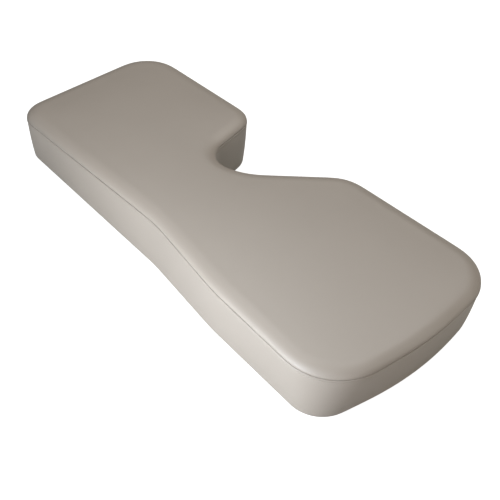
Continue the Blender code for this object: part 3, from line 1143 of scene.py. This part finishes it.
@dataclass
class Underside:
    """Board, T-nuts, dust cover and staples.

    Args:
        plan: The pad's plan.
        nut_names: CAD nodes of the T-nuts.
        dust_inset: Inset of the dust cover's folded edge.
        hem: Width of the dust cover's turned-in hem.
        turn_under: How far the cover runs in under the board.
        cloth: Thickness of the dust cover's cloth.
        access: Radius of the dust cover's hole below a T-nut.
    """

    plan: Plan
    nut_names: tuple[str, ...]
    dust_inset: float = 18.0 * MM
    hem: float = 12.0 * MM
    turn_under: float = 38.0 * MM
    cloth: float = 0.25 * MM
    access: float = 9.0 * MM

    def nut_places(self) -> list[tuple[float, float]]:
        """Places of the T-nuts' axes, from their boxes."""
        places = []
        for name in self.nut_names:
            low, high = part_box(name)
            places.append(((low.x + high.x) / 2, (low.y + high.y) / 2))
        return places

    def board(self) -> None:
        """Dress the CAD board as plywood."""
        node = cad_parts["base_board"]
        for slot in node.material_slots:
            slot.material = PLYWOOD_FINISH.material()

    def dust_cover(self) -> bpy.types.Object:
        """Stretch the dust cover under the board, its edge turned in.

        Returns:
            The finished piece.
        """
        bm = bmesh.new()
        under = self.turn_under
        rows = [(self.dust_inset + self.hem, 2 * self.cloth), (self.dust_inset + 0.8 * MM, 2 * self.cloth),
                (self.dust_inset + 0.15 * MM, 1.6 * self.cloth), (self.dust_inset, self.cloth),
                (self.dust_inset + 0.15 * MM, 0.4 * self.cloth), (self.dust_inset + 0.8 * MM, 0.0),
                (self.dust_inset + 8.0 * MM, 0.0), (under - 1.0 * MM, 0.0), (under + 2.0 * MM, 0.5 * MM),
                (under + 8.0 * MM, 0.9 * MM), (under + 16.0 * MM, 1.0 * MM)]
        _, rims = stack_rings(bm, self.plan, rows)
        for x, y in self.nut_places():
            made = bmesh.ops.create_circle(bm, segments=32, radius=self.access,
                                           matrix=Matrix.Translation((x, y, rows[-1][1])))["verts"]
            rims += linked_edges(made)
        bmesh.ops.triangle_fill(bm, use_beauty=True, edges=rims, normal=(0, 0, -1))
        grid_flat(bm, rows[-1][1], 15.0 * MM)
        bmesh.ops.recalc_face_normals(bm, faces=bm.faces)
        level = [face for face in bm.faces if abs(face.calc_center_median().z - rows[-1][1]) < LEVEL]
        if level and level[0].normal.z > 0:
            bmesh.ops.reverse_faces(bm, faces=bm.faces)
        for vert in bm.verts:
            if vert.co.z > rows[-3][1]:
                vert.co.z += noise.noise(vert.co * 14.0) * 0.35 * MM
        area = sum(face.calc_area() for face in bm.faces)
        piece = new_object("dust_cloth", bm)
        wall = piece.modifiers.new("thickness", "SOLIDIFY")
        wall.thickness = self.cloth
        wall.offset = -1.0
        enrolled(piece, DUST_CLOTH_FINISH, "dust_cover")
        return piece

    def _along(self, inset: float, step: float) -> list[tuple[Vector, Vector]]:
        """Places and directions at even steps round a ring below the board."""
        ring = self.plan.ring(inset, 0.0)
        places = []
        left = 0.0
        for start, end in zip(ring, ring[1:] + ring[:1]):
            length = (end - start).length
            while left < length:
                places.append((start.lerp(end, left / length), (end - start).normalized()))
                left += step
            left -= length
        return places

    def staples(self, name: str, inset: float, step: float, height: float) -> bpy.types.Object:
        """Drive a row of staples in round the underside.

        Args:
            name: The row's name.
            inset: Inset of the row.
            step: Spacing.
            height: Height of the crowns' undersides.

        Returns:
            The finished piece.
        """
        bm = bmesh.new()
        for number, (place, forward) in enumerate(self._along(inset, step)):
            askew = Matrix.Rotation(noise.noise(place * 60.0) * 0.35, 4, "Z")
            side = Vector((-forward.y, forward.x, 0.0))
            turn = Matrix((forward, side, Vector((0, 0, 1)))).transposed().to_4x4()
            shift = Matrix.Translation((place.x, place.y, height))
            self._staple(bm, shift @ turn @ askew)
        bmesh.ops.recalc_face_normals(bm, faces=bm.faces)
        return enrolled(new_object(name, bm, smooth=False), STAPLE_FINISH)

    def _staple(self, bm: bmesh.types.BMesh, place: Matrix) -> None:
        """Add one staple: a flat wire bent up at both ends."""
        wire, half, leg = 0.5 * MM, 4.75 * MM, 8.0 * MM
        outline = [Vector((-half, 0, leg)), Vector((-half, 0, wire)), Vector((-half + wire, 0, 0)),
                   Vector((half - wire, 0, 0)), Vector((half, 0, wire)), Vector((half, 0, leg))]
        half_wide = Vector((0, 0.45 * MM, 0))
        one_side = [place @ (point - half_wide) for point in outline]
        other_side = [place @ (point + half_wide) for point in outline]
        known = set(bm.faces)
        edges = chain(bm, one_side, closed=False)
        extrude_to(bm, edges, other_side)
        ribbon = [face for face in bm.faces if face not in known]
        for face in ribbon:
            face.normal_update()
        bmesh.ops.solidify(bm, geom=ribbon, thickness=wire)

    def t_nut(self, name: str) -> bpy.types.Object:
        """Build one pronged, threaded T-nut where its CAD node is.

        Args:
            name: The CAD node.

        Returns:
            The finished piece.
        """
        low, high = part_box(name)
        nut = TNut(axis=Vector(((low.x + high.x) / 2, (low.y + high.y) / 2, 0.0)), top=high.z, low=low.z)
        return enrolled(nut.build(name.replace("t_nut", "nut")), ZINC_FINISH, name)


@dataclass(frozen=True)
class TNut:
    """A pressed steel nut with a flange, four prongs and a threaded barrel.

    Args:
        axis: Place of its axis.
        top: Height of its flange's top.
        low: Height of its barrel's mouth.
        flange: Radius of its flange.
        plate: Thickness of its flange.
        barrel: Outer radius of its barrel.
        bore: Minor radius of its thread.
        root: Major radius of its thread.
        pitch: Pitch of its thread.
        prong: Length of its prongs.
        sides: Facets round its axis.
    """

    axis: Vector
    top: float
    low: float
    flange: float = 9.3 * MM
    plate: float = 1.3 * MM
    barrel: float = 3.9 * MM
    bore: float = 2.55 * MM
    root: float = 3.175 * MM
    pitch: float = 1.27 * MM
    prong: float = 7.0 * MM
    sides: int = 32

    def build(self, name: str) -> bpy.types.Object:
        """Build the nut.

        Args:
            name: The piece's name.

        Returns:
            The nut, without a finish.
        """
        bm = bmesh.new()
        self._body(bm)
        self._thread(bm)
        self._prongs(bm)
        bmesh.ops.translate(bm, verts=bm.verts, vec=self.axis)
        return new_object(name, bm, smooth=False)

    def _spun(self, bm: bmesh.types.BMesh, section: Profile, turns: float, climb: float) -> None:
        """Spin a section round the axis.

        Args:
            bm: The mesh.
            section: Radii and heights of a closed loop.
            turns: Number of turns.
            climb: How far the section has climbed at the end.
        """
        known = set(bm.verts)
        edges = chain(bm, [Vector((radius, 0.0, height)) for radius, height in section], closed=True)
        verts = [vert for vert in bm.verts if vert not in known]
        steps = round(self.sides * turns)
        ends = bmesh.ops.spin(bm, geom=verts + edges, cent=(0, 0, 0), axis=(0, 0, 1), steps=steps,
                              angle=2 * math.pi * turns, dvec=(0, 0, climb / steps),
                              use_merge=climb == 0.0, use_duplicate=False)["geom_last"]
        if climb:
            for loop in (edges, [item for item in ends if isinstance(item, bmesh.types.BMEdge)]):
                bmesh.ops.contextual_create(bm, geom=loop)
        made = [vert for vert in bm.verts if vert not in known]
        bmesh.ops.remove_doubles(bm, verts=made, dist=LEVEL)
        made = [vert for vert in bm.verts if vert not in known]
        bmesh.ops.recalc_face_normals(bm, faces=list({face for vert in made for face in vert.link_faces}))

    def _body(self, bm: bmesh.types.BMesh) -> None:
        """Spin the flange and barrel, their edges rounded."""
        edge, neck = 0.25 * MM, 0.8 * MM
        section = (
            (self.root + 0.4 * MM, self.top), (self.flange - edge, self.top), (self.flange, self.top - edge),
            (self.flange, self.top - self.plate + edge), (self.flange - edge, self.top - self.plate),
            (self.barrel + neck, self.top - self.plate), (self.barrel, self.top - self.plate - neck),
            (self.barrel, self.low + edge), (self.barrel - edge, self.low), (self.root, self.low),
            (self.root, self.top - 0.4 * MM),
        )
        self._spun(bm, section, turns=1.0, climb=0.0)

    def _thread(self, bm: bmesh.types.BMesh) -> None:
        """Wind the thread's ridge up the bore."""
        length = self.top - self.low - 2.4 * MM
        turns = length / self.pitch
        start = self.low + 0.9 * MM
        over = self.root + 0.15 * MM
        half = self.pitch * 0.42
        section = ((over, start - half), (self.bore, start - 0.08 * MM), (self.bore, start + 0.08 * MM),
                   (over, start + half))
        self._spun(bm, section, turns=turns, climb=length)

    def _prongs(self, bm: bmesh.types.BMesh) -> None:
        """Bend four pointed prongs down from the flange's rim."""
        for number in range(4):
            made = bmesh.ops.create_cube(bm, size=1.0, matrix=Matrix.Translation((0, 0, -0.5)))["verts"]
            for vert in made:
                tip = vert.co.z < -0.75
                vert.co.x *= 0.5 if tip else 1.0
                vert.co.y *= 0.3 if tip else 1.0
            size = Matrix.Diagonal((1.3 * MM, 3.4 * MM, self.prong, 1.0))
            place = Matrix.Translation((self.flange - 0.85 * MM, 0, self.top - self.plate + 0.1 * MM))
            turn = Matrix.Rotation(math.pi / 2 * number, 4, "Z")
            bmesh.ops.transform(bm, matrix=turn @ place @ size, verts=made)


# --- the studio --------------------------------------------------------------

def direction(azimuth: float, elevation: float) -> Vector:
    """Unit vector towards a place round the pad.

    Args:
        azimuth: Degrees round from the pad's front towards its wide end.
        elevation: Degrees above the level.

    Returns:
        The direction.
    """
    turn, lift = math.radians(azimuth), math.radians(elevation)
    return Vector((math.sin(turn) * math.cos(lift), -math.cos(turn) * math.cos(lift), math.sin(lift)))


@dataclass(frozen=True)
class Lamp:
    """A soft square light.

    Args:
        name: Name of the light.
        azimuth: Degrees round from the pad's front towards its wide end.
        elevation: Degrees above the level.
        power: Watts.
        tint: Colour.
        near: Whether it stands close to the wide end, or far from the whole pad.
    """

    name: str
    azimuth: float
    elevation: float
    power: float
    tint: tuple[float, float, float]
    near: bool = False

    def hang(self) -> None:
        """Make the light."""
        aim, size, distance = NEAR_STAND if self.near else FAR_STAND
        back = direction(self.azimuth, self.elevation)
        data = bpy.data.lights.new(self.name, "AREA")
        data.size = size
        data.energy = self.power
        data.color = self.tint
        lamp = bpy.data.objects.new(self.name, data)
        lamp.location = aim + back * distance
        lamp.rotation_euler = (-back).to_track_quat("-Z", "Y").to_euler()
        bpy.context.collection.objects.link(lamp)


@dataclass
class Studio:
    """Floor, lights, air and camera.

    Args:
        azimuth: Camera's direction round the pad, in degrees.
        elevation: Camera's height above the level, in degrees.
        distance: From the camera to the point that it looks at.
        target: The point that it looks at.
        lens: Focal length in millimetres, on a sensor 36 mm wide.
        lamps: The lights.
        backdrop: Brightness of the surroundings behind the pad.
        floor_glow: Glow of the floor, added to the light that falls on it.
    """

    azimuth: float
    elevation: float
    distance: float
    target: Vector
    lens: float
    lamps: tuple[Lamp, ...]
    backdrop: float = 0.95
    floor_glow: float = 0.85

    def camera(self) -> None:
        """Set the scene's camera."""
        back = direction(self.azimuth, self.elevation)
        data = bpy.data.cameras.new("camera")
        data.lens = self.lens
        data.sensor_width = 36.0
        data.clip_start = 0.05
        camera = bpy.data.objects.new("camera", data)
        camera.location = self.target + back * self.distance
        camera.rotation_euler = (-back).to_track_quat("-Z", "Y").to_euler()
        bpy.context.collection.objects.link(camera)
        bpy.context.scene.camera = camera

    def floor(self) -> None:
        """Lay the plain pale floor."""
        bm = bmesh.new()
        bmesh.ops.create_grid(bm, x_segments=1, y_segments=1, size=9.0,
                              matrix=Matrix.Translation((0, 0, -1.0 * MM)))
        floor = new_object("floor", bm, smooth=False)
        pale = bpy.data.materials.new("pale_floor")
        pale.use_nodes = True
        tree = Tree(pale.node_tree)
        nodes = pale.node_tree.nodes
        shader = nodes["Principled BSDF"]
        tree.feed(shader, {"Base Color": (0.35, 0.35, 0.35, 1.0), "Roughness": 0.9,
                           "Emission Color": (0.96, 1.0, 0.93, 1.0), "Emission Strength": 0.116})
        seen = tree.add("ShaderNodeLightPath").outputs["Is Camera Ray"]
        bright = tree.add("ShaderNodeMath", {0: seen, 1: self.floor_glow}, operation="MULTIPLY")
        glow = tree.add("ShaderNodeEmission", {
            "Color": (1.0, 1.0, 1.0, 1.0), "Strength": bright.outputs["Value"]})
        both = tree.add("ShaderNodeAddShader", {0: shader.outputs["BSDF"], 1: glow.outputs["Emission"]})
        tree.feed(nodes["Material Output"], {"Surface": both.outputs["Shader"]})
        floor.data.materials.append(pale)

    def surroundings(self) -> None:
        """Show a pale backdrop that doesn't light the pad."""
        world = bpy.context.scene.world or bpy.data.worlds.new("backdrop")
        bpy.context.scene.world = world
        world.use_nodes = True
        tree = Tree(world.node_tree)
        seen = tree.add("ShaderNodeLightPath").outputs["Is Camera Ray"]
        bright = tree.add("ShaderNodeMath", {0: seen, 1: self.backdrop}, operation="MULTIPLY")
        tree.feed(world.node_tree.nodes["Background"], {
            "Color": (1.0, 1.0, 1.0, 1.0), "Strength": bright.outputs["Value"]})

    def build(self) -> None:
        """Set everything up."""
        self.camera()
        self.floor()
        self.surroundings()
        for lamp in self.lamps:
            lamp.hang()
        bpy.context.scene.view_settings.view_transform = "Standard"


# --- driving dimensions ------------------------------------------------------

BACK_EDGE = 0.233

SEAM_LINE = (
    Corner(-0.530, -0.1455, 0.055), Corner(-0.024, -0.1475, 0.400), Corner(0.191, -0.1840, 0.520),
    Corner(0.504, -0.2080, 0.111), Corner(0.530, 0.0210, 0.640), Corner(0.511, BACK_EDGE, 0.101),
    Corner(0.130, BACK_EDGE, 0.086), Corner(-0.019, 0.0850, 0.150), Corner(-0.1205, 0.0500, 0.058),
    Corner(-0.1595, BACK_EDGE, 0.052), Corner(-0.530, BACK_EDGE, 0.088),
)
LOWER_EDGE = (
    Corner(-0.519, -0.1340, 0.025), Corner(-0.029, -0.1555, 0.400), Corner(0.179, -0.1835, 0.520),
    Corner(0.471, -0.2015, 0.070), Corner(0.517, 0.0210, 0.640), Corner(0.485, 0.2265, 0.078),
    Corner(0.130, 0.2265, 0.086), Corner(-0.019, 0.0785, 0.150), Corner(-0.127, 0.0435, 0.058),
    Corner(-0.166, 0.2265, 0.052), Corner(-0.5235, 0.2265, 0.088),
)
LAMPS = (
    Lamp("key", -15, 12, 11.3, (0.85, 0.92, 1.0), near=True),
    Lamp("key_high", -15, 38, 3.5, (0.81, 0.91, 1.0), near=True),
    Lamp("front_left", -40, 12, 1.7, (1.0, 0.94, 0.87), near=True),
    Lamp("back_left", 240, 62, 20.1, (1.0, 0.99, 0.965)),
    Lamp("back", 180, 62, 16.0, (1.0, 0.965, 0.925)),
    Lamp("back_right", 120, 38, 5.4, (1.0, 0.97, 0.90)),
    Lamp("back_right_low", 120, 12, 6.5, (1.0, 1.0, 0.935)),
    Lamp("front_right_low", 60, 12, 9.0, (1.0, 0.865, 0.78)),
)
JOIN_ON_BACK = (0.300, 0.216)
JOIN_ON_END = (-0.528, 0.040)


def main() -> None:
    """Build the pad, its fastenings and the studio."""
    logging.basicConfig(level=logging.INFO, format="%(name)s: %(message)s")
    seam_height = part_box("cover_band_front")[1].z
    plan = Plan(SEAM_LINE, LOWER_EDGE, seam_height)
    cover = Cover(plan, top=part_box("cover_top_panel")[1].z)
    studio = Studio(
        azimuth=48.05, elevation=42.31, distance=1.7877, target=Vector((0.1546, -0.0766, 0.110)),
        lens=68.4, lamps=LAMPS)
    studio.build()
    seam = plan.ring(0.0, seam_height)
    on_end = plan.nearest(seam, *JOIN_ON_END)
    on_back = plan.nearest(seam, *JOIN_ON_BACK)
    nut_names = tuple(sorted(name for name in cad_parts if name.startswith("t_nut_")))
    stuffing = Stuffing(plan, cover, seat=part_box("foam_firm_core")[0].z, split=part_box("foam_firm_core")[1].z)
    underside = Underside(plan, nut_names)
    pieces = [
        cover.top_panel(),
        cover.band(Side.FRONT, on_end, on_back),
        cover.band(Side.BACK, on_back, on_end),
        cover.stitches(),
        stuffing.firm_foam(underside.nut_places()),
        stuffing.soft_foam(),
        stuffing.wadding(),
        underside.dust_cover(),
        underside.staples("cover_staples", 32.0 * MM, 30.0 * MM, 0.55 * MM),
        underside.staples("dust_cover_staples", 23.5 * MM, 36.0 * MM, -0.25 * MM),
        *[underside.t_nut(name) for name in nut_names],
    ]
    underside.board()
    for piece in pieces:
        LOG.info("%s: %d faces", piece.name, len(piece.data.polygons))


if __name__ == "__main__":
    main()
